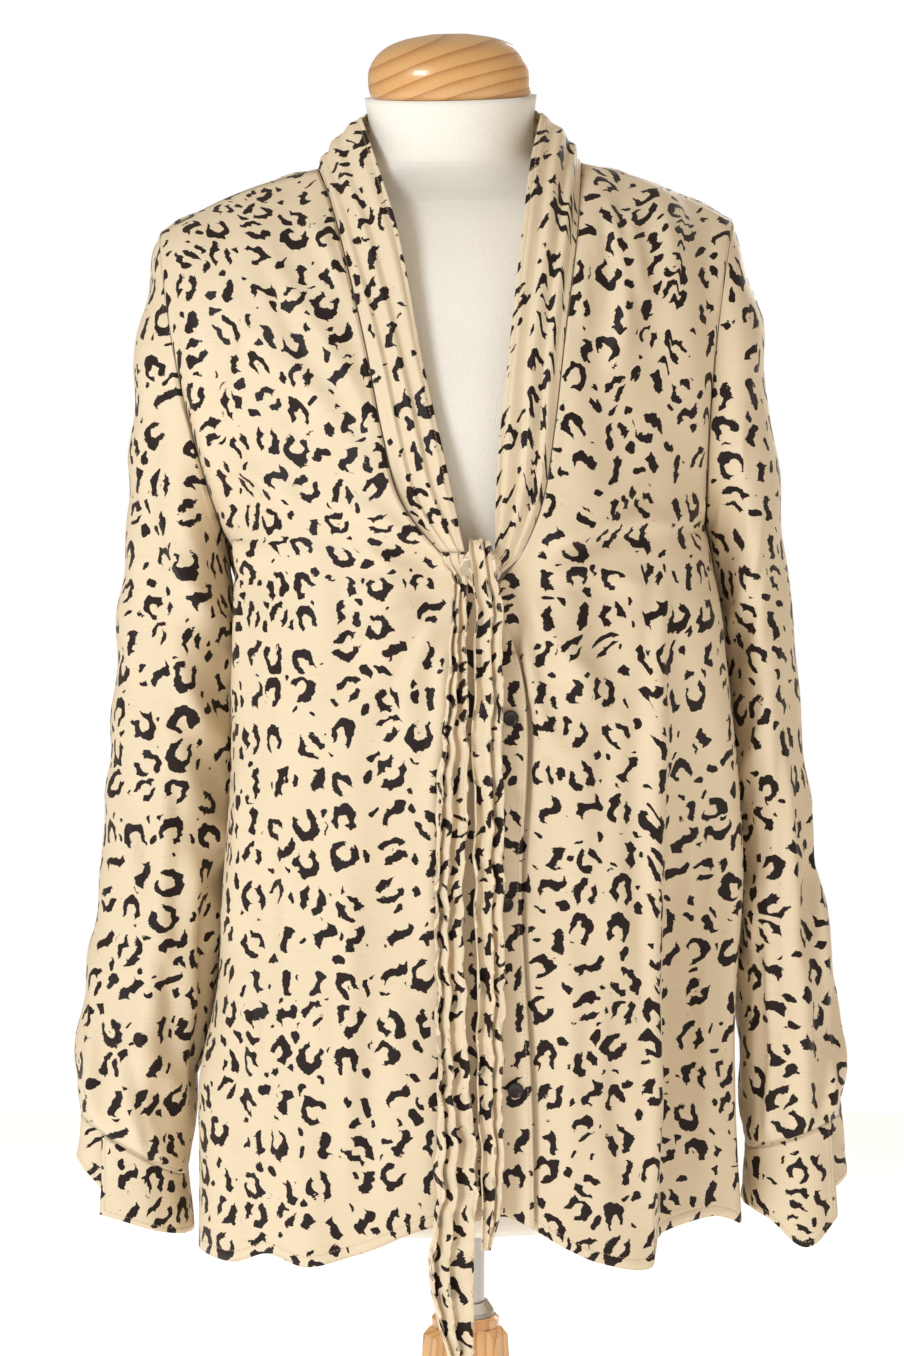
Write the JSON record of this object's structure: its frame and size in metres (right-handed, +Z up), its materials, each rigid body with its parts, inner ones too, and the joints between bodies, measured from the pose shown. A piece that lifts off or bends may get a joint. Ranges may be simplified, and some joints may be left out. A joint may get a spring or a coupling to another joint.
{
  "type": "blouse on a limbless dress form with a wooden stand",
  "caption": "Long-sleeved blouse with a knotted scarf collar and hanging tie ends, worn by a limbless dress form on a pole and a three-legged wooden stand.",
  "frame": {"origin": "middle of the overall box on the floor", "axes": "+Z up, -Y the way the front of the blouse faces, +X to the viewer's right"},
  "size_m": [0.511, 0.4059, 1.4753],
  "materials": {
    "cloth": "satin",
    "jersey": "matte",
    "wood": "gloss",
    "steel": "satin",
    "button": "gloss"
  },
  "bodies": {
    "root": {"front_left": "cloth", "front_right": "cloth", "back": "cloth", "placket": "cloth", "collar": "cloth", "knot": "cloth", "tie_long": "cloth", "tie_short": "cloth", "sleeve_left": "cloth", "sleeve_right": "cloth", "cuff_left": "cloth", "cuff_right": "cloth", "button_1": "button", "button_2": "button", "button_3": "button", "torso": "jersey", "neck_cap": "wood", "pole": "steel", "pole_collar": "steel", "hub": "wood", "leg_1": "wood", "leg_2": "wood", "leg_3": "wood"}
  },
  "joints": []
}
